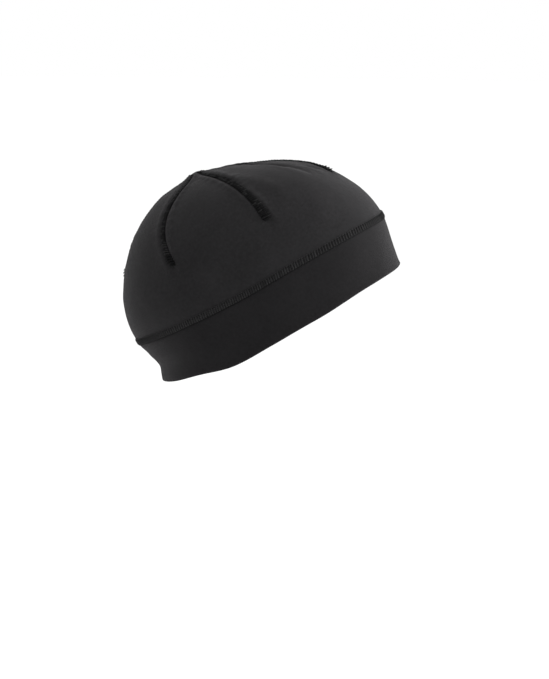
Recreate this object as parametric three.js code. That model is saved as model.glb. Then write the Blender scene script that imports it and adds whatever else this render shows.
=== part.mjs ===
import * as THREE from "three";

// A worn skull cap of stretch jersey: a crown with six darts, over a folded band.
// Sizes are millimetres and angles are degrees. The cap is shaped upright, about an axis through the
// point where the darts meet, and is then tipped back as it is worn. A bearing goes round that axis
// from the front, by the wearer's left. A turn goes down from the top of the axis, and is 90 at the
// ring where crown and band meet.

// The ring where crown and band meet, measured from the axis.
const ringFrontReach = 105.5;
const ringSideReach = 77.5;
const ringRearReach = 92.8;

// The ring's outline is a little squarer than an ellipse and widest behind its middle.
const outlineExponent = 2.15;
const rearFullness = 0.05;

const crownTopReach = 88;
const crownWall = 1.2;
const bandHeight = 38;
const bandWall = 2.4;
const jointGap = 0.3;
const seamClearance = 0.35;

// The joint rises a little either side of the front, above the plane of the seam ring.
const templeRise = 2.2;

// The cloth puffs out between darts, is drawn in along each one between two soft lips, and stands up
// in a small point where they all meet.
const puff = 1.1;
const dartDepth = 1;
const lipHeight = 0.5;
const foldHeight = 1;
const apexRise = 2.8;
const apexAngle = 4.5;

const dartWidth = 5;
const dartThickness = 1;
const dartEdge = 0.7;
const dartStartAngle = 5;
const dartSteps = 12;

const seamAbove = 3.4;
const seamBelow = 1.8;
const seamThickness = 0.9;

// How far the front of the cap is tipped up, and the turn of the point that lies on top when worn.
const wornTilt = 27.8;
const seatAngle = 27.8;

const jerseyColour = 0x26262a;
const bandColour = 0x242428;
const threadColour = 0x1a1a1d;

// The crown's rings. Each reach is a share of the way from the top's reach to the seam ring's, so a
// share below 0 lies inside a sphere of the top's reach.
const crownRows = [
  { turn: 0, front: 0, side: 0, rear: 0 },
  { turn: 4, front: -0.1, side: 0.05, rear: 0 },
  { turn: 8, front: -0.16, side: 0.1, rear: 0.04 },
  { turn: 14, front: -0.17, side: 0.16, rear: 0.19 },
  { turn: 20, front: -0.15, side: 0.24, rear: 0.38 },
  { turn: 28, front: -0.08, side: 0.32, rear: 0.46 },
  { turn: 36, front: 0.05, side: 0.4, rear: 0.58 },
  { turn: 44, front: 0.22, side: 0.48, rear: 0.73 },
  { turn: 52, front: 0.42, side: 0.55, rear: 0.79 },
  { turn: 60, front: 0.58, side: 0.64, rear: 0.92 },
  { turn: 68, front: 0.72, side: 0.72, rear: 1.04 },
  { turn: 76, front: 0.87, side: 0.82, rear: 1.19 },
  { turn: 84, front: 0.965, side: 0.92, rear: 1.12 },
  { turn: 90, front: 1, side: 1, rear: 1 },
];

// The band's outside, as shares of its height and of the seam ring's reach. Its rear is hollow.
const bandRows = [
  { down: 0, front: 1, side: 1, rear: 1 },
  { down: 0.12, front: 0.994, side: 0.999, rear: 0.99 },
  { down: 0.25, front: 0.988, side: 0.997, rear: 0.972 },
  { down: 0.4, front: 0.98, side: 0.993, rear: 0.958 },
  { down: 0.55, front: 0.972, side: 0.989, rear: 0.939 },
  { down: 0.7, front: 0.964, side: 0.984, rear: 0.932 },
  { down: 0.85, front: 0.957, side: 0.98, rear: 0.94 },
  { down: 1, front: 0.95, side: 0.977, rear: 0.948 },
];

// How tall the band is, as a share of its height, and how far its joint rises, as a share of its
// highest rise, at bearings either side. The hem dips behind the middle and is drawn up at the rear.
const bandHeightRows = [
  { bearing: 0, height: 0.96, rise: 0.3 },
  { bearing: 30, height: 1.01, rise: 1 },
  { bearing: 60, height: 1.06, rise: 0.8 },
  { bearing: 85, height: 1.04, rise: 0 },
  { bearing: 110, height: 1.06, rise: -0.1 },
  { bearing: 130, height: 1, rise: 0 },
  { bearing: 150, height: 0.87, rise: 0.3 },
  { bearing: 165, height: 0.87, rise: 0.2 },
  { bearing: 180, height: 0.95, rise: 0 },
];

// Each dart runs down from the top at its bearing, bows aside in the middle, and ends at a turn.
const darts = [
  { name: "dart_seam_front", bearing: 1, bow: 5, endTurn: 63 },
  { name: "dart_seam_left_front", bearing: 57, bow: -3, endTurn: 62 },
  { name: "dart_seam_left_rear", bearing: 116, bow: 7, endTurn: 61 },
  { name: "dart_seam_rear", bearing: 180, bow: 0, endTurn: 61 },
  { name: "dart_seam_right_rear", bearing: 245, bow: -8, endTurn: 61 },
  { name: "dart_seam_right_front", bearing: 303.5, bow: 3, endTurn: 62 },
];

// Soft folds and hollows in the crown: their middle, their size each way in degrees, and how far
// they stand out of the cloth, as a share of a fold's height.
const crownFolds = [
  { bearing: 318, turn: 40, wide: 7, long: 13, out: 1.3 },
  { bearing: 311, turn: 46, wide: 4, long: 12, out: -0.7 },
  { bearing: 290, turn: 52, wide: 6, long: 12, out: 0.8 },
  { bearing: 252, turn: 50, wide: 6, long: 14, out: 0.9 },
  { bearing: 0, turn: 68, wide: 14, long: 5, out: -1.1 },
  { bearing: 42, turn: 40, wide: 7, long: 13, out: 1 },
  { bearing: 108, turn: 50, wide: 6, long: 14, out: 0.8 },
  { bearing: 180, turn: 70, wide: 16, long: 6, out: 0.8 },
];

// The columns between one dart and the next, as shares of the way.
const columnShares = [0, 0.05, 0.12, 0.2, 0.3, 0.4, 0.5, 0.6, 0.7, 0.8, 0.88, 0.95];
const valleyShare = 0.05;

// The width of a dart seam along its length, which ends in a wider tack.
const dartWidthRows = [
  { along: 0, width: 0.5, lift: 0.9 },
  { along: 0.2, width: 0.75, lift: 1 },
  { along: 0.5, width: 0.9, lift: 1 },
  { along: 0.85, width: 1, lift: 1 },
  { along: 0.9, width: 1.3, lift: 1.3 },
  { along: 0.97, width: 1.3, lift: 1.3 },
  { along: 1, width: 0.8, lift: 1 },
];

const radians = THREE.MathUtils.degToRad;
const mix = THREE.MathUtils.lerp;

function rowValue(rows, place, at, name) {
  const next = Math.max(1, rows.findIndex((row) => row[place] >= at));
  const low = rows[next - 1];
  const high = rows[next];
  return mix(low[name], high[name], (at - low[place]) / (high[place] - low[place]));
}

// The reach of an outline with its own front, side and rear reach, at one bearing. It is round where
// the exponent is 2.
function outlineReach(bearing, front, side, rear, exponent, fullness) {
  const ahead = Math.cos(radians(bearing));
  const aside = Math.sin(radians(bearing));
  const length = ahead > 0 ? front : rear;
  const sum = Math.abs(ahead / length) ** exponent + Math.abs(aside / side) ** exponent;
  return sum ** (-1 / exponent) * (1 - fullness * ahead * aside * aside);
}

// A dart's bearing at one turn, and the column lines between darts, which follow them.
function dartBearing(dart, turn) {
  return dart.bearing + dart.bow * Math.sin(Math.PI * Math.min(1, turn / dart.endTurn));
}

function columnBearing(column, turn) {
  const sector = Math.floor(column / columnShares.length);
  const share = columnShares[column % columnShares.length];
  const first = darts[sector % darts.length];
  const second = darts[(sector + 1) % darts.length];
  const start = dartBearing(first, turn) + (sector === darts.length ? 360 : 0);
  const end = dartBearing(second, turn) + (sector + 1 >= darts.length ? 360 : 0);
  return mix(start, end, share);
}

// How far between its two darts a bearing lies at one turn, with the nearer dart.
function sectorPlace(turn, bearing) {
  const around = (bearing + 360) % 360;
  for (let i = 0; i < darts.length; i += 1) {
    const next = darts[(i + 1) % darts.length];
    const start = dartBearing(darts[i], turn);
    const end = dartBearing(next, turn) + (i + 1 === darts.length ? 360 : 0);
    if (around >= start - 1e-6 && around < end - 1e-6) {
      const share = (around - start) / (end - start);
      return { share, nearest: share < 0.5 ? darts[i] : next };
    }
  }
  return { share: 0, nearest: darts[0] };
}

function bell(distance, size) {
  return Math.exp(-((distance / size) ** 2));
}

function foldOut(turn, bearing) {
  let out = 0;
  for (const fold of crownFolds) {
    const aside = ((bearing - fold.bearing + 540) % 360) - 180;
    out += foldHeight * fold.out * bell(aside, fold.wide) * bell(turn - fold.turn, fold.long);
  }
  return out * Math.sin(radians(Math.min(turn, 90)));
}

// The crown's outside, as a distance from the middle of the seam ring.
function crownReach(turn, bearing) {
  const lean = Math.sin(radians(turn));
  const front = mix(crownTopReach, ringFrontReach, rowValue(crownRows, "turn", turn, "front"));
  const side = mix(crownTopReach, ringSideReach, rowValue(crownRows, "turn", turn, "side"));
  const rear = mix(crownTopReach, ringRearReach, rowValue(crownRows, "turn", turn, "rear"));
  const exponent = mix(2, outlineExponent, lean * lean);
  const reach = outlineReach(bearing, front, side, rear, exponent, rearFullness * lean * lean);
  const { share, nearest } = sectorPlace(turn, bearing);
  const along = Math.min(1, turn / nearest.endTurn);
  const swell = Math.sin(Math.PI * share) * Math.sin(Math.PI * Math.min(1, turn / 90));
  const aside = Math.min(share, 1 - share) / valleyShare;
  const taper = Math.sin(Math.PI * Math.sqrt(along));
  const drawn = dartDepth * Math.max(0, 1 - aside) - lipHeight * bell(aside - 2, 1);
  const point = apexRise * bell(turn, apexAngle);
  return reach + puff * swell - drawn * taper + point + foldOut(turn, bearing);
}

function seamRingReach(bearing) {
  return outlineReach(
    bearing,
    ringFrontReach,
    ringSideReach,
    ringRearReach,
    outlineExponent,
    rearFullness,
  );
}

// The joint's height above the plane of the ring, the band's height, and the band's outside, at one
// bearing. Down is a share of the band's height.
function sideways(bearing) {
  return Math.abs(((bearing + 540) % 360) - 180);
}

function jointRise(bearing) {
  return templeRise * rowValue(bandHeightRows, "bearing", sideways(bearing), "rise");
}

function bandDepth(bearing) {
  return bandHeight * rowValue(bandHeightRows, "bearing", sideways(bearing), "height");
}

function bandReach(down, bearing) {
  const front = ringFrontReach * rowValue(bandRows, "down", down, "front");
  const side = ringSideReach * rowValue(bandRows, "down", down, "side");
  const rear = ringRearReach * rowValue(bandRows, "down", down, "rear");
  return outlineReach(bearing, front, side, rear, outlineExponent, rearFullness);
}

// A point on the crown, at one turn and bearing and a distance from the middle of the ring.
function onCrown(turn, bearing, reach) {
  const out = reach * Math.sin(radians(turn));
  const height = Math.max(jointGap / 2, reach * Math.cos(radians(turn)));
  return around(bearing, out, height + jointRise(bearing) * Math.sin(radians(turn)) ** 6);
}

function around(bearing, out, height) {
  const angle = radians(bearing);
  return new THREE.Vector3(out * Math.cos(angle), out * Math.sin(angle), height);
}

// A lathed body whose every point is moved to the place that its profile row and column give.
function lathedBody(rowCount, closed, placeAt) {
  const columns = darts.length * columnShares.length;
  const profile = [];
  for (let row = 0; row < rowCount; row += 1) {
    profile.push(new THREE.Vector2(1, row));
  }
  if (closed) {
    profile.push(profile[0].clone());
  }
  const body = new THREE.LatheGeometry(profile, columns);
  const places = body.getAttribute("position");
  for (let i = 0; i < places.count; i += 1) {
    const column = Math.floor(i / profile.length);
    const point = placeAt((i % profile.length) % rowCount, column);
    places.setXYZ(i, point.x, point.y, point.z);
  }
  body.deleteAttribute("normal");
  body.deleteAttribute("uv");
  return body;
}

// One layer of jersey: down the inside from the top, and back up the outside.
function crownBody() {
  const turns = crownRows.map((row) => row.turn);
  const rows = [
    ...turns.map((turn) => ({ turn, inset: crownWall })),
    ...turns.toReversed().map((turn) => ({ turn, inset: 0 })),
  ];
  return lathedBody(rows.length, false, (row, column) => {
    const { turn, inset } = rows[row];
    const bearing = columnBearing(column, turn);
    return onCrown(turn, bearing, crownReach(turn, bearing) - inset);
  });
}

// Two layers of jersey joined by a round fold at the hem.
function bandBody() {
  const half = bandWall / 2;
  const foldAngles = [45, 90, 135];
  const downs = bandRows.map((row) => row.down);
  const rows = [
    ...downs.map((down) => ({ down, inset: bandWall, lower: 0 })),
    ...foldAngles.map((angle) => ({
      down: 1,
      inset: half + half * Math.cos(radians(angle)),
      lower: half * Math.sin(radians(angle)),
    })),
    ...downs.toReversed().map((down) => ({ down, inset: 0, lower: 0 })),
  ];
  return lathedBody(rows.length, true, (row, column) => {
    const { down, inset, lower } = rows[row];
    const bearing = columnBearing(column, 90);
    const depth = jointGap / 2 + down * (bandDepth(bearing) - half - jointGap / 2) + lower;
    return around(bearing, bandReach(down, bearing) - inset, jointRise(bearing) - depth);
  });
}

// The flat seam lies over the joint, partly on the crown and partly on the band.
function bandSeamBody() {
  const section = [
    { level: 1, lift: 0 },
    { level: 0, lift: 0 },
    { level: -1, lift: 0 },
    { level: -0.85, lift: 0.8 },
    { level: 0.1, lift: 1 },
    { level: 0.85, lift: 0.8 },
  ];
  return lathedBody(section.length, true, (row, column) => {
    const { level, lift } = section[row];
    const bearing = columnBearing(column, 90);
    const height = level * (level > 0 ? seamAbove : seamBelow);
    const turn = 90 - THREE.MathUtils.radToDeg(Math.atan2(height, seamRingReach(bearing)));
    const down = Math.max(0, -height / bandDepth(bearing));
    const surface = level > 0
      ? crownReach(turn, bearing) * Math.sin(radians(turn))
      : bandReach(down, bearing);
    const out = surface + seamClearance + lift * seamThickness;
    return around(bearing, out, height + jointRise(bearing));
  });
}

// A raised seam laid down the valley of its dart, a little higher along its middle, with a wider tack
// at its end.
function dartSeamBody(dart) {
  const body = new THREE.BoxGeometry(2, 1, 1, 2, 1, dartSteps);
  const places = body.getAttribute("position");
  for (let i = 0; i < places.count; i += 1) {
    const across = places.getX(i);
    const along = places.getZ(i) + 0.5;
    const raised = places.getY(i) > 0 ? mix(1, dartEdge, Math.abs(across)) : 0;
    const turn = mix(dartStartAngle, dart.endTurn, along);
    const middle = dartBearing(dart, turn);
    const out = crownReach(turn, middle) * Math.sin(radians(turn));
    const half = dartWidth * rowValue(dartWidthRows, "along", along, "width") / 2;
    const lift = dartThickness * rowValue(dartWidthRows, "along", along, "lift") * raised;
    const side = THREE.MathUtils.radToDeg(Math.atan2(half, out));
    const left = crownReach(turn, middle + side);
    const right = crownReach(turn, middle - side);
    const under = mix(right, left, (across + 1) / 2) + seamClearance;
    const point = onCrown(turn, middle + across * side, under + lift);
    places.setXYZ(i, point.x, point.y, point.z);
  }
  body.deleteAttribute("normal");
  body.deleteAttribute("uv");
  return body;
}

function jersey(colour) {
  return new THREE.MeshStandardMaterial({ color: colour, roughness: 0.95, metalness: 0 });
}

function thread() {
  return new THREE.MeshStandardMaterial({ color: threadColour, roughness: 0.85, metalness: 0 });
}

function named(name, body, material) {
  const mesh = new THREE.Mesh(body, material);
  mesh.name = name;
  return mesh;
}

const upright = new THREE.Group();
upright.add(named("crown", crownBody(), jersey(jerseyColour)));
upright.add(named("band", bandBody(), jersey(bandColour)));
upright.add(named("band_seam", bandSeamBody(), thread()));
for (const dart of darts) {
  upright.add(named(dart.name, dartSeamBody(dart), thread()));
}

// The cap is tipped back, and the inside of the crown, straight above the ring's middle, is the origin.
upright.rotation.y = radians(-wornTilt);
const seat = onCrown(seatAngle, 0, crownReach(seatAngle, 0) - crownWall);
upright.position.copy(seat.applyEuler(upright.rotation).negate());

const cap = new THREE.Group();
cap.add(upright);

export default cap;
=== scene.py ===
import math

import bmesh
import bpy
import numpy as np
from mathutils import Matrix, Vector, noise


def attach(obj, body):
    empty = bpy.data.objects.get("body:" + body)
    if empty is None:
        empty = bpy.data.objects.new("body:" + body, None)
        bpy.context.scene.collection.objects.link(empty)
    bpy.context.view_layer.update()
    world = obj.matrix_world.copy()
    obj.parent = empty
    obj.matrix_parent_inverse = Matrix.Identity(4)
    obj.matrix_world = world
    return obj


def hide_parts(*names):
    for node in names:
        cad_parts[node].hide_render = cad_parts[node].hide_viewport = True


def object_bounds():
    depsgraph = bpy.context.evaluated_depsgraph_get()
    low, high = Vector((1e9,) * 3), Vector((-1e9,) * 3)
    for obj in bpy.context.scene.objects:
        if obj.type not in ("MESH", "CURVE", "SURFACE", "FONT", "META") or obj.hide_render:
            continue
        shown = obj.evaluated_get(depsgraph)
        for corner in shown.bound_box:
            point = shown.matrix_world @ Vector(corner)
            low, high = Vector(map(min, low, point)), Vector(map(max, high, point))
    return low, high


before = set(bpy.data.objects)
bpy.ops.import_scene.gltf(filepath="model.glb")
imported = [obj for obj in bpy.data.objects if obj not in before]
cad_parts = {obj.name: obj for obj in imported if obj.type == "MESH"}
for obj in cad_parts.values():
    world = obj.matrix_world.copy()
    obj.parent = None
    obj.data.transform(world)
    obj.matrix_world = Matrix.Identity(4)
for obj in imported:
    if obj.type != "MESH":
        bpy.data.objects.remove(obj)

MM = 0.001

# The size of the solids, which gives the middle that the view, the floor and the lamps are placed round.
solid_bounds = [list(corner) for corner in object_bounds()]

# The camera stands at the cap's right side, a little towards its front and above it, with a long lens.
# The cap lies high in the frame, as it does when worn, so the view is aimed below it.
VIEW_AZIMUTH = math.radians(8)
VIEW_ELEVATION = math.radians(8.5)
VIEW_DISTANCE = 1.8
PICTURE_ROWS = 679
ROW_HEIGHT = 0.72 * MM
VIEW_SHIFT_RIGHT = 9.4 * MM
VIEW_SHIFT_DOWN = 50.4 * MM
SENSOR = 36.0

middle = sum((Vector(corner) for corner in solid_bounds), Vector()) / 2
outward = Vector(
    (
        math.sin(VIEW_AZIMUTH) * math.cos(VIEW_ELEVATION),
        -math.cos(VIEW_AZIMUTH) * math.cos(VIEW_ELEVATION),
        math.sin(VIEW_ELEVATION),
    )
)
rightward = Vector((math.cos(VIEW_AZIMUTH), math.sin(VIEW_AZIMUTH), 0))
upward = outward.cross(rightward)
aim = middle + rightward * VIEW_SHIFT_RIGHT - upward * VIEW_SHIFT_DOWN
camera_data = bpy.data.cameras.new("camera")
camera_data.sensor_width = SENSOR
camera_data.lens = SENSOR * VIEW_DISTANCE / (PICTURE_ROWS * ROW_HEIGHT)
camera = bpy.data.objects.new("camera", camera_data)
camera.location = middle + outward * VIEW_DISTANCE
camera.rotation_euler = (aim - camera.location).to_track_quat("-Z", "Y").to_euler()
bpy.context.scene.collection.objects.link(camera)
bpy.context.scene.camera = camera

# The crown is one layer of thin, brushed stretch jersey. It is cut as a strip, taken in by six darts
# that meet at the top, and it is stretched smooth, with soft lips and creases beside the darts.
CROWN_TOP = 88.0
CROWN_WALL = 1.2
CROWN_COLUMNS = 360
CROWN_RINGS = 88
CLOTH_REACH = 88.0
CLOTH_LENGTH = math.tau * CLOTH_REACH

# The cap's sizes are millimetres and its angles degrees. A bearing goes round its axis from the front,
# by its left. A turn goes down from the top, and is 90 at the ring where crown and band meet.
RING_FRONT = 105.5
RING_SIDE = 77.5
RING_REAR = 93.8
RING_EXPONENT = 2.15
REAR_FULLNESS = 0.05
WORN_TILT = 27.8

# The crown's reach from the ring's middle, as a share of the way from the top's reach to the ring's.
CROWN_ROWS = [
    {"turn": 0, "front": 0, "side": 0, "rear": 0},
    {"turn": 4, "front": -0.1, "side": 0.05, "rear": 0},
    {"turn": 8, "front": -0.11, "side": 0.1, "rear": 0.04},
    {"turn": 14, "front": -0.11, "side": 0.16, "rear": 0.19},
    {"turn": 20, "front": -0.1, "side": 0.24, "rear": 0.38},
    {"turn": 28, "front": -0.08, "side": 0.32, "rear": 0.46},
    {"turn": 36, "front": 0.05, "side": 0.4, "rear": 0.58},
    {"turn": 44, "front": 0.22, "side": 0.48, "rear": 0.73},
    {"turn": 52, "front": 0.42, "side": 0.55, "rear": 0.79},
    {"turn": 60, "front": 0.58, "side": 0.64, "rear": 0.92},
    {"turn": 68, "front": 0.72, "side": 0.72, "rear": 1.04},
    {"turn": 76, "front": 0.87, "side": 0.82, "rear": 1.19},
    {"turn": 84, "front": 0.965, "side": 0.92, "rear": 1.12},
    {"turn": 90, "front": 1, "side": 1, "rear": 1},
]

# How far the joint rises above the ring's plane, as a share of the sides' rise, at bearings either way
# from the front, and how tall the band is there, as a share of its height.
SIDE_RISE = 2.2
RISE_POWER = 6
RING_ROWS = [
    {"bearing": 0, "height": 0.96, "rise": 0.3},
    {"bearing": 30, "height": 0.995, "rise": 1},
    {"bearing": 60, "height": 1.035, "rise": 0.8},
    {"bearing": 85, "height": 1.025, "rise": 0},
    {"bearing": 110, "height": 1.05, "rise": -0.1},
    {"bearing": 130, "height": 0.94, "rise": 0},
    {"bearing": 150, "height": 0.9, "rise": 0.3},
    {"bearing": 165, "height": 0.862, "rise": 0.2},
    {"bearing": 180, "height": 0.862, "rise": 0},
]

# Each dart runs down from the top at its bearing, bows aside in the middle, and ends at a turn. Its
# seam's width is a share of the usual one, and it is dense between two shares of its length.
DARTS = [
    {"name": "front", "bearing": -1, "bow": 4, "end": 63, "wide": 1, "dense": (0.6, 1)},
    {"name": "left_front", "bearing": 57, "bow": -3, "end": 62, "wide": 1, "dense": (0.55, 1)},
    {"name": "left_rear", "bearing": 116, "bow": 7, "end": 61, "wide": 0.8, "dense": (0.5, 0.8)},
    {"name": "rear", "bearing": 180, "bow": 0, "end": 61, "wide": 0.9, "dense": (0.6, 1)},
    {"name": "right_rear", "bearing": 245, "bow": -8, "end": 61, "wide": 0.74, "dense": (0.3, 0.76)},
    {"name": "right_front", "bearing": 303.5, "bow": 2, "end": 63, "wide": 1, "dense": (0.5, 1)},
]

# Beside a dart the cloth is drawn in to a valley, with a lip on either side and small puckers. All of it
# fades in from the top and out past the dart's end. Between two darts the cloth swells.
DART_REACH = 85.0
DART_DEPTH = 0.6
VALLEY_WIDTH = 2.6
LIP_HEIGHT = 0.5
LIP_ASIDE = 4.4
LIP_WIDTH = 2.2
PUCKER_HEIGHT = 0.28
PUCKER_ASIDE = 5.5
PUCKER_WIDTH = 3.6
PUCKER_RATE = 1.45
PUCKER_DRIFT = 2.1
DRIFT_RATE = 0.31
FADE_IN = 0.16
FADE_OUT = 0.14
FADE_END = 1.12
CLOTH_PUFF = 1.1
PUFF_SPREAD = 24.0
APEX_RISE = 2.3
APEX_ANGLE = 6.0

# Creases and folds: a line from one turn and bearing to another, its half width and its height in
# millimetres, below 0 where it is pressed in. Each fades towards both ends.
CREASE_POINTS = 17
CREASE_INSET = 0.12
FOLDS = [
    {"from": (16, 357), "to": (45, 343), "wide": 2.2, "out": -1.5},
    {"from": (37, 346), "to": (56, 343.5), "wide": 2.2, "out": -1.3},
    {"from": (27, 344), "to": (56, 338), "wide": 3.0, "out": 0.4},
    {"from": (40, 352), "to": (62, 349), "wide": 2.4, "out": 0.45},
    {"from": (49, 350), "to": (60, 354.5), "wide": 1.5, "out": -0.8},
    {"from": (22, 313), "to": (40, 318), "wide": 4.5, "out": 0.7},
    {"from": (40, 318), "to": (56, 321), "wide": 5.5, "out": 0.6},
    {"from": (28, 309), "to": (52, 311), "wide": 2.6, "out": -0.35},
    {"from": (34, 307.5), "to": (62, 306), "wide": 1.9, "out": 0.55},
    {"from": (63, 301), "to": (76, 296), "wide": 4.0, "out": -0.35},
    {"from": (63, 245), "to": (76, 250), "wide": 4.0, "out": -0.3},
    {"from": (26, 232), "to": (60, 250), "wide": 3.4, "out": 0.4},
    {"from": (62, 0), "to": (72, 4), "wide": 7.0, "out": -0.9},
    {"from": (24, 47), "to": (54, 40), "wide": 5.0, "out": 0.6},
    {"from": (60, 55), "to": (74, 62), "wide": 4.0, "out": -0.3},
    {"from": (26, 128), "to": (60, 112), "wide": 3.4, "out": 0.4},
    {"from": (30, 172), "to": (66, 168), "wide": 5.0, "out": 0.4},
    {"from": (68, 200), "to": (74, 165), "wide": 6.0, "out": 0.5},
]

# Soft lumps all over the crown, by height and size in millimetres. A seed takes their pattern from
# another place, that many steps away.
SEED_STEP = (1, 2.7, 0.6)
CROWN_LUMPS = [
    {"height": 0.28, "size": 26, "seed": 3},
    {"height": 0.1, "size": 9, "seed": 11},
]


def row_value(rows, place, at, name):
    """A table's value at one place, eased so that no edge shows at a row, and level at both ends."""
    places = np.array([row[place] for row in rows], float)
    values = np.array([row[name] for row in rows], float)
    slopes = np.gradient(values, places)
    slopes[[0, -1]] = 0
    at = np.clip(at, places[0], places[-1])
    low = np.clip(np.searchsorted(places, at, "right") - 1, 0, len(places) - 2)
    gap = places[low + 1] - places[low]
    share = (at - places[low]) / gap
    start = (1 + 2 * share) * (1 - share) ** 2 * values[low]
    end = share**2 * (3 - 2 * share) * values[low + 1]
    leave = share * (1 - share) ** 2 * slopes[low] * gap
    arrive = share**2 * (share - 1) * slopes[low + 1] * gap
    return start + end + leave + arrive


def outline_reach(bearing, front, side, rear, exponent, fullness):
    """The reach of a rounded outline at one bearing. A fullness makes it widest behind its middle."""
    ahead = np.cos(np.radians(bearing))
    aside = np.sin(np.radians(bearing))
    length = np.where(ahead > 0, front, rear)
    total = np.abs(ahead / length) ** exponent + np.abs(aside / side) ** exponent
    return total ** (-1 / exponent) * (1 - fullness * ahead * aside * aside)


def dart_bearing(dart, turn):
    """Where the line of a dart runs at one turn."""
    return dart["bearing"] + dart["bow"] * np.sin(np.pi * np.minimum(1, turn / dart["end"]))


def apart(bearing, other):
    """How far one bearing lies past another, from -180 to 180 degrees."""
    return (bearing - other + 540) % 360 - 180


def joint_rise(bearing):
    """How far the joint of crown and band lies above the ring's plane."""
    return SIDE_RISE * row_value(RING_ROWS, "bearing", np.abs(apart(bearing, 0)), "rise")


def smooth_reach(turn, bearing):
    """The crown's reach before its darts and folds."""
    lean = np.sin(np.radians(turn))
    front = CROWN_TOP + (RING_FRONT - CROWN_TOP) * row_value(CROWN_ROWS, "turn", turn, "front")
    side = CROWN_TOP + (RING_SIDE - CROWN_TOP) * row_value(CROWN_ROWS, "turn", turn, "side")
    rear = CROWN_TOP + (RING_REAR - CROWN_TOP) * row_value(CROWN_ROWS, "turn", turn, "rear")
    exponent = 2 + (RING_EXPONENT - 2) * lean**2
    return outline_reach(bearing, front, side, rear, exponent, REAR_FULLNESS * lean**2)


def dart_form(turn, bearing):
    """How far the darts swell, lift and draw in the cloth, in millimetres."""
    swell = np.ones_like(turn)
    form = np.zeros_like(turn)
    for dart in DARTS:
        aside = apart(bearing, dart_bearing(dart, turn))
        swell *= 1 - np.exp(-((aside / PUFF_SPREAD) ** 2))
        off = np.abs(DART_REACH * np.sin(np.radians(turn)) * np.radians(aside))
        along = turn / dart["end"]
        fade = np.minimum(along / FADE_IN, (FADE_END - along) / FADE_OUT)
        valley = np.exp(-((off / VALLEY_WIDTH) ** 2))
        lips = np.exp(-(((off - LIP_ASIDE) / LIP_WIDTH) ** 2))
        drift = PUCKER_DRIFT * np.sin(DRIFT_RATE * turn + dart["bearing"])
        pucker = PUCKER_HEIGHT * (0.5 + 0.5 * np.sin(PUCKER_RATE * turn + drift))
        pucker *= np.exp(-(((off - PUCKER_ASIDE) / PUCKER_WIDTH) ** 2))
        form += np.clip(fade, 0, 1) * (LIP_HEIGHT * lips + pucker - DART_DEPTH * valley)
    return form + CLOTH_PUFF * swell * np.sin(np.pi * np.minimum(1, turn / 90))


def turned_place(bearing, out, height):
    """A place round the cap's axis, tipped back as it is worn, in metres in the frame."""
    tilt = math.radians(WORN_TILT)
    ahead = out * np.cos(np.radians(bearing))
    return MM * np.stack(
        [
            ahead * math.cos(tilt) - height * math.sin(tilt),
            out * np.sin(np.radians(bearing)),
            ahead * math.sin(tilt) + height * math.cos(tilt),
        ],
        axis=-1,
    )


def crown_place(turn, bearing, reach):
    """A place on the crown, which rises with the joint towards its lower edge."""
    out = reach * np.sin(np.radians(turn))
    rise = joint_rise(bearing) * np.sin(np.radians(turn)) ** RISE_POWER
    return turned_place(bearing, out, reach * np.cos(np.radians(turn)) + rise)


def fold_form(turn, bearing):
    """How far the creases and folds stand out, in millimetres."""
    places = crown_place(turn, bearing, smooth_reach(turn, bearing))
    form = np.zeros_like(turn)
    for fold in FOLDS:
        share = np.linspace(0, 1, CREASE_POINTS)
        turns = fold["from"][0] + share * (fold["to"][0] - fold["from"][0])
        bearings = fold["from"][1] + share * apart(fold["to"][1], fold["from"][1])
        line = crown_place(turns, bearings, smooth_reach(turns, bearings))
        near = np.full(turn.shape, np.inf)
        at = np.zeros_like(turn)
        for step, point in zip(share, line):
            distance = np.linalg.norm(places - point, axis=-1)
            at = np.where(distance < near, step, at)
            near = np.minimum(near, distance)
        fade = np.sin(np.pi * (CREASE_INSET + (1 - 2 * CREASE_INSET) * at))
        form += fold["out"] * fade * np.exp(-((near / (fold["wide"] * MM)) ** 2))
    return form


def soft_noise(places, size, seed):
    """Smooth unevenness, less than one either way, with lumps of one size in millimetres."""
    scale = 1 / (size * MM)
    shift = Vector([seed * step for step in SEED_STEP])
    return np.array([noise.noise(Vector(place) * scale + shift) for place in places])


def crown_reach(turn, bearing):
    """The crown's reach with its darts, and with the small point where they all meet."""
    point = APEX_RISE * np.exp(-((turn / APEX_ANGLE) ** 2))
    return smooth_reach(turn, bearing) + dart_form(turn, bearing) + point


# The frame's origin is on the inside of the crown, straight above the middle of the ring.
SEAT_REACH = 86.1
seat = np.array([0, 0, SEAT_REACH * MM])


def new_piece(name, shape, material):
    """A shown piece at the frame's origin, from its finished shape."""
    mesh = bpy.data.meshes.new(name)
    shape.to_mesh(mesh)
    shape.free()
    mesh.materials.append(material)
    for face in mesh.polygons:
        face.use_smooth = True
    piece = bpy.data.objects.new(name, mesh)
    bpy.context.scene.collection.objects.link(piece)
    return piece


def lathe(profile, columns):
    """A mesh spun once round the Z axis from (out, height) points, its first point first."""
    shape = bmesh.new()
    verts = [shape.verts.new((out, 0, height)) for out, height in profile]
    edges = [shape.edges.new(pair) for pair in zip(verts, verts[1:])]
    bmesh.ops.spin(
        shape,
        geom=verts + edges,
        axis=(0, 0, 1),
        cent=(0, 0, 0),
        steps=columns,
        angle=math.tau,
        use_merge=True,
    )
    bmesh.ops.remove_doubles(shape, verts=shape.verts, dist=1e-6)
    bmesh.ops.recalc_face_normals(shape, faces=shape.faces)
    return shape


def places_of(mesh):
    """Where a mesh's corners lie, one to a row."""
    places = np.empty(len(mesh.vertices) * 3)
    mesh.vertices.foreach_get("co", places)
    return places.reshape(-1, 3)


def bearings_of(places):
    """The bearing of each place, from 0 to 360 degrees."""
    return np.degrees(np.arctan2(places[:, 1], places[:, 0])) % 360


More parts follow.
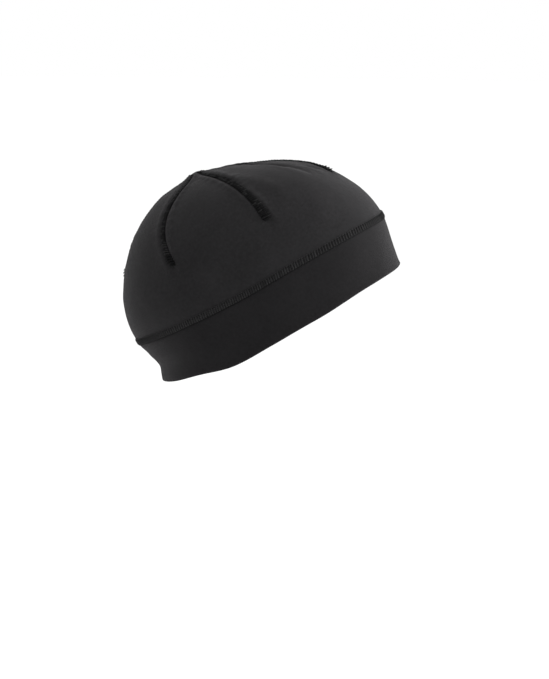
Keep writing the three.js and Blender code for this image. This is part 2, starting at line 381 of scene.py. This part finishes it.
def thicken(piece, thickness):
    """Gives a sheet its thickness in millimetres, inwards from the side that shows."""
    wall = piece.modifiers.new("wall", "SOLIDIFY")
    wall.thickness = thickness * MM
    wall.offset = -1


def map_cloth(mesh, across, along):
    """Lays the cloth's lengths, in millimetres, on the mesh, running on where it closes."""
    uv = mesh.uv_layers.new(name="cloth")
    corners = np.empty(len(mesh.loops), np.int32)
    mesh.loops.foreach_get("vertex_index", corners)
    starts = np.array([face.loop_start for face in mesh.polygons])
    sizes = np.array([face.loop_total for face in mesh.polygons])
    at = across[corners]
    farthest = np.repeat(np.maximum.reduceat(at, starts), sizes)
    at = np.where(farthest - at > CLOTH_LENGTH / 2, at + CLOTH_LENGTH, at)
    uv.data.foreach_set("uv", np.stack([at, along[corners]], axis=-1).ravel())


# The knit's columns and rows of loops in millimetres, the lumps to a metre of its fuzz, its mottling and
# its slow changes of tone, and how strongly each shows in its relief and its shade. The knit's share of
# the colour is painted shade, darker in the hollows between its loops.
LOOP_WIDTH = 0.95
LOOP_HEIGHT = 0.75
LOOP_SLANT = 0.55
LOOP_RELIEF = 0.5
FUZZ_LUMPS = 2600
FUZZ_RELIEF = 1.1
MOTTLE_LUMPS = 520
MOTTLE_SHADE = 0.7
TONE_LUMPS = 38
TONE_SHADE = 0.5
KNIT_PAINTED_SHADE = 0.12


def jersey(name, colour, uneven):
    """Fine jersey: columns of V-shaped loops, and a brushed face that catches light at the rim."""
    material = bpy.data.materials.new(name)
    material.use_nodes = True
    nodes = material.node_tree.nodes
    links = material.node_tree.links
    shader = nodes["Principled BSDF"]
    shader.inputs["Roughness"].default_value = 0.95
    shader.inputs["Specular IOR Level"].default_value = 0.05
    shader.inputs["Sheen Weight"].default_value = 0.11
    shader.inputs["Sheen Roughness"].default_value = 0.42
    shader.inputs["Sheen Tint"].default_value = (0.8, 0.78, 0.8, 1)

    def maths(operation, first, second=0.0):
        node = nodes.new("ShaderNodeMath")
        node.operation = operation
        for socket, value in zip(node.inputs, (first, second)):
            if isinstance(value, (int, float)):
                socket.default_value = value
            else:
                links.new(value, socket)
        return node.outputs[0]

    def cloth_noise(lumps, detail):
        node = nodes.new("ShaderNodeTexNoise")
        node.inputs["Scale"].default_value = lumps
        node.inputs["Detail"].default_value = detail
        links.new(place, node.inputs["Vector"])
        return node.outputs["Fac"]

    cloth = nodes.new("ShaderNodeUVMap")
    cloth.uv_map = "cloth"
    split = nodes.new("ShaderNodeSeparateXYZ")
    links.new(cloth.outputs["UV"], split.inputs[0])
    place = nodes.new("ShaderNodeTexCoord").outputs["Object"]
    side = maths("PINGPONG", maths("DIVIDE", split.outputs["X"], LOOP_WIDTH / 2), 1.0)
    slant = maths("MULTIPLY", side, LOOP_SLANT)
    stitch = maths("ADD", maths("DIVIDE", split.outputs["Y"], LOOP_HEIGHT), slant)
    loop = maths("SINE", maths("MULTIPLY", stitch, math.tau))
    rib = maths("SINE", maths("MULTIPLY", side, math.pi))
    knit = maths("ADD", maths("MULTIPLY", loop, LOOP_RELIEF), rib)
    fuzz = cloth_noise(FUZZ_LUMPS, 3)
    mottle = cloth_noise(MOTTLE_LUMPS, 5)
    drift = cloth_noise(TONE_LUMPS, 3)
    height = maths("ADD", knit, maths("MULTIPLY", fuzz, FUZZ_RELIEF))
    bump = nodes.new("ShaderNodeBump")
    bump.inputs["Strength"].default_value = 0.55
    bump.inputs["Distance"].default_value = 0.12 * MM
    links.new(height, bump.inputs["Height"])
    links.new(bump.outputs["Normal"], shader.inputs["Normal"])

    shade = maths("MULTIPLY", mottle, MOTTLE_SHADE)
    shade = maths("ADD", shade, maths("MULTIPLY", drift, TONE_SHADE))
    # The knit's relief darkens the colour down its hollows, between loops and columns: painted shade.
    shade = maths("ADD", shade, maths("MULTIPLY", knit, KNIT_PAINTED_SHADE))
    tone = nodes.new("ShaderNodeMapRange")
    tone.inputs["From Min"].default_value = 0.25
    tone.inputs["From Max"].default_value = 1.05
    tone.inputs["To Min"].default_value = 1 - uneven
    tone.inputs["To Max"].default_value = 1 + uneven
    links.new(shade, tone.inputs["Value"])
    tint = nodes.new("ShaderNodeMix")
    tint.data_type = "RGBA"
    tint.blend_type = "MULTIPLY"
    tint.inputs["Factor"].default_value = 1.0
    tint.inputs[6].default_value = colour
    links.new(tone.outputs["Result"], tint.inputs[7])
    links.new(tint.outputs[2], shader.inputs["Base Color"])
    return material


ring_turns = np.linspace(0, 90, CROWN_RINGS + 1)
profile = [(math.sin(math.radians(turn)), math.cos(math.radians(turn))) for turn in ring_turns]
crown_jersey = jersey("crown_jersey", (0.0132, 0.0128, 0.0134, 1), 0.45)
crown = new_piece("crown_cloth", lathe(profile, CROWN_COLUMNS), crown_jersey)
sphere = places_of(crown.data)
out = np.hypot(sphere[:, 0], sphere[:, 1])
turn = np.degrees(np.arctan2(out, sphere[:, 2]))
bearing = bearings_of(sphere)
reach = crown_reach(turn, bearing) + fold_form(turn, bearing)
smooth = crown_place(turn, bearing, reach)
lean = np.sin(np.radians(turn))
for lump in CROWN_LUMPS:
    reach += lean * lump["height"] * soft_noise(smooth, lump["size"], lump["seed"])
crown.data.vertices.foreach_set("co", (crown_place(turn, bearing, reach) - seat).ravel())

# The cloth between two darts is a gore, so its columns of loops run straight down the gore's middle
# and go on round the band below the darts' ends.
starts = np.array([dart["bearing"] for dart in DARTS])
gore = np.searchsorted(starts, bearing, "right") - 1
gore_middle = starts[gore] + apart(np.roll(starts, -1)[gore], starts[gore]) / 2
widening = np.minimum(1, lean / math.sin(math.radians(DARTS[0]["end"])))
across = CLOTH_REACH * np.radians((gore_middle + apart(bearing, gore_middle) * widening) % 360)
map_cloth(crown.data, across, CLOTH_REACH * np.radians(turn))
thicken(crown, CROWN_WALL)
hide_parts("crown")
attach(crown, "root")

# The band is a strip of the same jersey, closed to a ring and folded in half. The fold is the hem, and
# both raw edges are caught in the seam under the crown. No line of stitches shows on it.
BAND_HEIGHT = 38.0
BAND_WALL = 2.4
BAND_STEPS = 22
JOINT_GAP = 0.3
FOLD_STEPS = 8
HEM_ROLL = 0.35
HEM_SHARE = 0.07
HEM_WAVE = {"height": 0.35, "size": 24, "seed": 8}
BAND_LUMPS = [
    {"height": 0.22, "size": 30, "seed": 5},
    {"height": 0.08, "size": 8, "seed": 17},
]

# The band's outside, as shares of its height and of the ring's reach. Its rear is hollow.
BAND_ROWS = [
    {"down": 0, "front": 1, "side": 1, "rear": 1},
    {"down": 0.12, "front": 0.994, "side": 0.999, "rear": 0.99},
    {"down": 0.25, "front": 0.988, "side": 0.997, "rear": 0.972},
    {"down": 0.4, "front": 0.98, "side": 0.993, "rear": 0.958},
    {"down": 0.55, "front": 0.972, "side": 0.989, "rear": 0.939},
    {"down": 0.7, "front": 0.964, "side": 0.984, "rear": 0.932},
    {"down": 0.85, "front": 0.957, "side": 0.98, "rear": 0.95},
    {"down": 1, "front": 0.95, "side": 0.977, "rear": 0.962},
]


def band_depth(bearing):
    sideways = np.abs(apart(bearing, 0))
    return BAND_HEIGHT * row_value(RING_ROWS, "bearing", sideways, "height")


def band_reach(down, bearing):
    front = RING_FRONT * row_value(BAND_ROWS, "down", down, "front")
    side = RING_SIDE * row_value(BAND_ROWS, "down", down, "side")
    rear = RING_REAR * row_value(BAND_ROWS, "down", down, "rear")
    return outline_reach(bearing, front, side, rear, RING_EXPONENT, REAR_FULLNESS)


# The band's section, from the joint down the outside, round the fold and up the inside. A point's out
# part is its place through the wall, and its height is how far it lies down the band.
half_wall = BAND_WALL / 2
downs = np.linspace(0, 1, BAND_STEPS + 1)
fold_angles = np.linspace(0, math.pi, FOLD_STEPS + 1)[1:-1]
section = [(0.0, down, 0.0) for down in downs]
section += [(half_wall * (1 - math.cos(a)), 1.0, half_wall * math.sin(a)) for a in fold_angles]
section += [(BAND_WALL, down, 0.0) for down in downs[::-1]]
rows = np.arange(len(section))
band_shape = lathe([(1, -float(row)) for row in rows], CROWN_COLUMNS)
tops = [edge for edge in band_shape.edges if edge.is_boundary]
bmesh.ops.bridge_loops(band_shape, edges=tops)
bmesh.ops.recalc_face_normals(band_shape, faces=band_shape.faces)
# The band's jersey is given a darker colour than the crown's, though it is the same cloth: painted shade
# for the weaker light that reaches the band.
band_jersey = jersey("band_jersey", (0.0095, 0.0091, 0.0096, 1), 0.4)
band = new_piece("band_cloth", band_shape, band_jersey)
drum = places_of(band.data)
row = np.rint(-drum[:, 2]).astype(int)
bearing = bearings_of(drum)
inset, down, lower = np.array(section)[row].T
depth = band_depth(bearing) - half_wall
reach = band_reach(down, bearing) - inset
level = joint_rise(bearing) - JOINT_GAP / 2 - down * (depth - JOINT_GAP / 2) - lower
smooth = turned_place(bearing, reach, level)
for lump in BAND_LUMPS:
    reach += lump["height"] * soft_noise(smooth, lump["size"], lump["seed"])
reach += HEM_ROLL * np.exp(-(((1 - down) / HEM_SHARE) ** 2)) * (inset < half_wall)
wave = soft_noise(smooth * np.array([1, 1, 0]), HEM_WAVE["size"], HEM_WAVE["seed"])
level += HEM_WAVE["height"] * down * wave
places = turned_place(bearing, reach, level)
band.data.vertices.foreach_set("co", (places - seat).ravel())
map_cloth(band.data, CLOTH_REACH * np.radians(bearing), row * BAND_HEIGHT / BAND_STEPS)
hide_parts("band")
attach(band, "root")

# Crown and band are joined by a flat overlocked seam: the edges lie flat under a strip of needle
# threads and slanting cover threads, mostly on the crown's side of the joint.
SEAM_ABOVE = 3.6
SEAM_BELOW = 1.6
SEAM_LIFT = 0.45
SEAM_ROWS = 12
SEAM_RIPPLE = 0.1
SEAM_TUCK = 0.25
STRIP_WALL = 0.3
STITCH_PITCH = 2.0


def seam_place(bearing, level, lift):
    """A place on the seam: level runs from 1 at the crown's edge to -1 at the band's."""
    height = np.where(level > 0, level * SEAM_ABOVE, level * SEAM_BELOW)
    turn = 90 - np.degrees(np.arctan2(np.maximum(height, 0), band_reach(0, bearing)))
    on_crown = crown_reach(turn, bearing) * np.sin(np.radians(turn))
    on_band = band_reach(np.maximum(0, -height / band_depth(bearing)), bearing)
    surface = np.where(height > 0, on_crown, on_band)
    return turned_place(bearing, surface + lift, height + joint_rise(bearing))


def thread(name, colour, sheen):
    """Dull twisted thread: dark, with fine ridges round it."""
    material = bpy.data.materials.new(name)
    material.use_nodes = True
    nodes = material.node_tree.nodes
    links = material.node_tree.links
    shader = nodes["Principled BSDF"]
    shader.inputs["Roughness"].default_value = 0.85
    shader.inputs["Specular IOR Level"].default_value = 0.06
    shader.inputs["Sheen Weight"].default_value = sheen
    shader.inputs["Sheen Roughness"].default_value = 0.5
    place = nodes.new("ShaderNodeTexCoord").outputs["Object"]
    twist = nodes.new("ShaderNodeTexNoise")
    twist.inputs["Scale"].default_value = 1800
    twist.inputs["Detail"].default_value = 2
    links.new(place, twist.inputs["Vector"])
    bump = nodes.new("ShaderNodeBump")
    bump.inputs["Strength"].default_value = 0.6
    bump.inputs["Distance"].default_value = 0.15 * MM
    links.new(twist.outputs["Fac"], bump.inputs["Height"])
    links.new(bump.outputs["Normal"], shader.inputs["Normal"])
    ramp = nodes.new("ShaderNodeValToRGB")
    ramp.color_ramp.elements[0].position = 0.35
    ramp.color_ramp.elements[1].position = 0.7
    ramp.color_ramp.elements[0].color = tuple(0.65 * part for part in colour) + (1,)
    ramp.color_ramp.elements[1].color = tuple(1.35 * part for part in colour) + (1,)
    links.new(twist.outputs["Fac"], ramp.inputs["Fac"])
    links.new(ramp.outputs["Color"], shader.inputs["Base Color"])
    return material


# A stitch is a short bar of thread with round ends. It is made once, with ends one unit from its middle.
STITCH_SIDES = 6
STITCH_RINGS = 8
STITCH_BLUNTNESS = 0.35
STITCH_FLATNESS = 1.3

stitch_shape = bmesh.new()
bmesh.ops.create_uvsphere(stitch_shape, u_segments=STITCH_SIDES, v_segments=STITCH_RINGS, radius=1)
for vert in stitch_shape.verts:
    vert.co.z = math.copysign(abs(vert.co.z) ** STITCH_BLUNTNESS, vert.co.z)
stitch_mesh = bpy.data.meshes.new("stitch")
stitch_shape.to_mesh(stitch_mesh)
stitch_shape.free()


def lay_thread(shape, start, end, outwards, size):
    """One stitch from start to end, flattened a little towards the cloth."""
    along = (end - start).normalized()
    across = outwards.cross(along).normalized()
    turn = Matrix((across, along.cross(across), along)).transposed().to_4x4()
    half_length = (end - start).length / 2 + size / 3
    scale = Matrix.Diagonal((size / 2, size / 2 / STITCH_FLATNESS, half_length, 1))
    stitch = stitch_mesh.copy()
    stitch.transform(Matrix.Translation((start + end) / 2) @ turn @ scale)
    shape.from_mesh(stitch)
    bpy.data.meshes.remove(stitch)


seam_thread = thread("seam_thread", (0.0128, 0.0126, 0.013), 0.075)
dark_thread = thread("dark_thread", (0.0088, 0.0086, 0.0089), 0.05)
seam_edge = thread("seam_edge", (0.0092, 0.009, 0.0093), 0.07)
needle_thread = thread("needle_thread", (0.0032, 0.0032, 0.0034), 0.02)
seam_shape = lathe([(1, -float(row)) for row in range(SEAM_ROWS + 1)], CROWN_COLUMNS)
seam = new_piece("band_seam_strip", seam_shape, seam_edge)
drum = places_of(seam.data)
level = 1 + 2 * drum[:, 2] / SEAM_ROWS
bearing = bearings_of(drum)
ripple = SEAM_RIPPLE * np.sin(np.radians(bearing) * CLOTH_REACH * math.pi / STITCH_PITCH)
rim = level**6
crest = (1 - rim) * (SEAM_LIFT + ripple * (1 - level**2)) - SEAM_TUCK * rim
seam.data.vertices.foreach_set("co", (seam_place(bearing, level, crest) - seat).ravel())
thicken(seam, STRIP_WALL)
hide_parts("band_seam")
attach(seam, "root")

# Cover threads cross the seam at an even pitch, more of them dark towards the front. A line of them
# closes it on the crown, and a line of black needle threads runs along the band; their black is partly
# a painted shadow for the groove there.
COVER_SIZE = 1.05
COVER_SPREAD = 0.3
COVER_SLANT = 0.3
COVER_LOW = -0.3
COVER_HIGH = 0.86
COVER_LIFT = SEAM_LIFT + 0.1
LINE_LIFT = SEAM_LIFT - 0.1
EDGE_LEVEL = 0.98
GROOVE_LEVEL = -0.75
LINE_START = 0.12
LINE_END = 0.86
EDGE_SIZE = 0.55
NEEDLE_SIZE = 0.8
FRONT_DARK = 0.9
stitches = round(CLOTH_LENGTH / STITCH_PITCH)
chance = np.random.default_rng(5)
steps = np.arange(stitches + 1) * 360 / stitches
cover_shape = bmesh.new()
dark_shape = bmesh.new()
needle_shape = bmesh.new()
lower_ends = seam_place(steps, np.full(len(steps), COVER_LOW), COVER_LIFT) - seat
upper_ends = seam_place(steps, np.full(len(steps), COVER_HIGH), COVER_LIFT) - seat
for i in range(stitches):
    start = Vector(lower_ends[i])
    end = Vector(upper_ends[i]).lerp(Vector(upper_ends[i + 1]), COVER_SLANT)
    size = COVER_SIZE * (1 + COVER_SPREAD * (chance.random() - 0.5)) * MM
    dark = FRONT_DARK * max(0, math.cos(math.radians(steps[i])))
    shape = dark_shape if chance.random() < dark else cover_shape
    lay_thread(shape, start, end, Vector((start.x, start.y, 0)), size)
# The black needle line along the band is partly real needle thread and partly painted groove shadow.
for shape, along_level, size in (
    (cover_shape, EDGE_LEVEL, EDGE_SIZE),
    (needle_shape, GROOVE_LEVEL, NEEDLE_SIZE),
):
    line = seam_place(steps, np.full(len(steps), along_level), LINE_LIFT) - seat
    for i in range(stitches):
        start = Vector(line[i]).lerp(Vector(line[i + 1]), LINE_START)
        end = Vector(line[i]).lerp(Vector(line[i + 1]), LINE_END)
        lay_thread(shape, start, end, Vector((start.x, start.y, 0)), size * MM)
for kind, shape, material in (
    ("covers", cover_shape, seam_thread),
    ("dark_covers", dark_shape, dark_thread),
    ("needles", needle_shape, needle_thread),
):
    threads = new_piece("band_seam_" + kind, shape, material)
    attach(threads, "root")

# Each dart is closed by a raised seam of the same kind, narrow at the top and wider downwards. Its
# stitches are grey and black threads, dense for a stretch, and end in a thick tack across the seam.
DART_START = 3.0
DART_STEPS = 60
DART_COLUMNS = 8
DART_STRIP_HEIGHT = 0.5
DART_STRIP_FALL = 0.9
DART_STRIP_TUCK = 0.5
STITCH_INSET = 0.2
STITCH_END_LIFT = 0.6
DART_COVER_SIZE = 1.0
DART_SLANT = 0.45
STITCH_ASIDE = 0.85
DENSE_SIZE = 0.8
DENSE_CREST = 0.75
DENSE_END = 0.7
DENSE_BLACK = 0.75
OPEN_BLACK = 0.3
TACK_SIZE = 0.9
TACK_LIFT = 0.3
TACK_START = 0.93
TACK_END = 0.995
TACK_BARS = 4
TACK_SLANT = 0.01

# Half the width of a dart's seam, and how far it stands up, in millimetres.
DART_ROWS = [
    {"along": 0, "half": 1.4, "lift": 0.45},
    {"along": 0.2, "half": 2.2, "lift": 0.6},
    {"along": 0.5, "half": 2.6, "lift": 0.75},
    {"along": 0.85, "half": 3, "lift": 0.85},
    {"along": 0.93, "half": 3.4, "lift": 1.15},
    {"along": 0.98, "half": 3.4, "lift": 1.1},
    {"along": 1, "half": 2.6, "lift": 0.6},
]


def dart_place(dart, along, across, lift):
    """A place on a dart's seam: along runs down it, and across goes from -1 to 1."""
    turn = DART_START + along * (dart["end"] - DART_START)
    line = dart_bearing(dart, turn)
    half = dart["wide"] * row_value(DART_ROWS, "along", along, "half")
    spread = np.degrees(np.arctan2(half, DART_REACH * np.sin(np.radians(turn))))
    left, right = line - spread, line + spread
    start = crown_reach(turn, left) + fold_form(turn, left)
    end = crown_reach(turn, right) + fold_form(turn, right)
    level = start + (end - start) * (1 + across) / 2
    return crown_place(turn, line + across * spread, level + lift) - seat


dart_thread = thread("dart_thread", (0.0125, 0.0123, 0.0126), 0.04)
for dart in DARTS:
    strip_shape = bmesh.new()
    bmesh.ops.create_grid(strip_shape, x_segments=DART_STEPS, y_segments=DART_COLUMNS, size=1)
    strip = new_piece("dart_strip_" + dart["name"], strip_shape, needle_thread)
    grid = places_of(strip.data)
    along = (grid[:, 0] + 1) / 2
    across = grid[:, 1]
    crest = row_value(DART_ROWS, "along", along, "lift") * (1 - DART_STRIP_FALL * across**4)
    rim = np.maximum(np.abs(across), np.abs(2 * along - 1) ** 12) ** 8
    lift = DART_STRIP_HEIGHT * crest - DART_STRIP_TUCK * rim
    places = dart_place(dart, along, across, lift)
    strip.data.vertices.foreach_set("co", places.ravel())
    thicken(strip, STRIP_WALL)
    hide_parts("dart_seam_" + dart["name"])
    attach(strip, "root")

    cover_shape = bmesh.new()
    needle_shape = bmesh.new()
    length = CLOTH_REACH * math.radians(dart["end"] - DART_START)
    bars = round(length / STITCH_PITCH)
    shares = (np.arange(bars + 1) + STITCH_INSET) / (bars + 2 * STITCH_INSET)
    lift = row_value(DART_ROWS, "along", shares, "lift")
    left = dart_place(dart, shares, np.full(bars + 1, -STITCH_ASIDE), STITCH_END_LIFT * lift)
    right = dart_place(dart, shares, np.full(bars + 1, STITCH_ASIDE), STITCH_END_LIFT * lift)
    centre = dart_place(dart, shares, np.zeros(bars + 1), lift)
    for i in range(bars):
        dense = dart["dense"][0] < shares[i] < dart["dense"][1]
        black = DENSE_BLACK if dense else OPEN_BLACK
        start = Vector(left[i])
        crest = Vector(centre[i]).lerp(Vector(centre[i + 1]), DART_SLANT / 2)
        end = Vector(right[i]).lerp(Vector(right[i + 1]), DART_SLANT)
        for ends in ((start, crest), (crest, end)):
            shape = needle_shape if chance.random() < black else cover_shape
            lay_thread(shape, *ends, crest - middle, DART_COVER_SIZE * MM)
        if dense:
            start = Vector(left[i + 1])
            crest = Vector(centre[i]).lerp(Vector(centre[i + 1]), DENSE_CREST)
            end = Vector(right[i]).lerp(Vector(right[i + 1]), DENSE_END)
            lay_thread(needle_shape, start, crest, crest - middle, DENSE_SIZE * MM)
            lay_thread(needle_shape, crest, end, crest - middle, DENSE_SIZE * MM)
    tack = np.linspace(TACK_START, TACK_END, TACK_BARS)
    high = row_value(DART_ROWS, "along", tack, "lift") + TACK_LIFT
    left = dart_place(dart, tack, np.full(TACK_BARS, -1.0), high)
    right = dart_place(dart, tack + TACK_SLANT, np.full(TACK_BARS, 1.0), high)
    for start, end in zip(left, right):
        outwards = Vector(end) - middle
        lay_thread(needle_shape, Vector(start), Vector(end), outwards, TACK_SIZE * MM)
    for kind, shape, material in (
        ("covers", cover_shape, dart_thread),
        ("tack", needle_shape, needle_thread),
    ):
        threads = new_piece("dart_" + kind + "_" + dart["name"], shape, material)
        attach(threads, "root")

# The surroundings are a wide white floor, well below the cap, in a white studio with two soft lamps:
# a stronger one above the front and a weaker one low in front.
FLOOR_BELOW = 0.45
FLOOR_SIZE = 8.0
floor_shape = bmesh.new()
bmesh.ops.create_grid(floor_shape, x_segments=1, y_segments=1, size=FLOOR_SIZE)
bmesh.ops.translate(floor_shape, verts=floor_shape.verts, vec=(0, 0, middle.z - FLOOR_BELOW))
floor_paint = bpy.data.materials.new("floor_paint")
floor_paint.use_nodes = True
floor_shader = floor_paint.node_tree.nodes["Principled BSDF"]
floor_shader.inputs["Base Color"].default_value = (0.92, 0.92, 0.92, 1)
floor_shader.inputs["Roughness"].default_value = 1.0
floor_shader.inputs["Specular IOR Level"].default_value = 0.0
floor_shader.inputs["Emission Color"].default_value = (1, 1, 1, 1)
floor_shader.inputs["Emission Strength"].default_value = 0.1
floor = new_piece("floor", floor_shape, floor_paint)

world = bpy.data.worlds.new("studio")
world.use_nodes = True
world.node_tree.nodes["Background"].inputs["Color"].default_value = (1, 1, 1, 1)
world.node_tree.nodes["Background"].inputs["Strength"].default_value = 1.0
bpy.context.scene.world = world
bpy.context.scene.view_settings.view_transform = "Standard"

LAMPS = [
    {"name": "lamp_above", "at": (1.1, -0.1, 0.85), "size": 1.0, "watts": 18},
    {"name": "lamp_front", "at": (1.4, 0.35, 0.2), "size": 0.8, "watts": 17},
]
for lamp in LAMPS:
    lamp_data = bpy.data.lights.new(lamp["name"], "AREA")
    lamp_data.size = lamp["size"]
    lamp_data.energy = lamp["watts"]
    light = bpy.data.objects.new(lamp["name"], lamp_data)
    light.location = middle + Vector(lamp["at"])
    light.rotation_euler = (middle - light.location).to_track_quat("-Z", "Y").to_euler()
    bpy.context.scene.collection.objects.link(light)
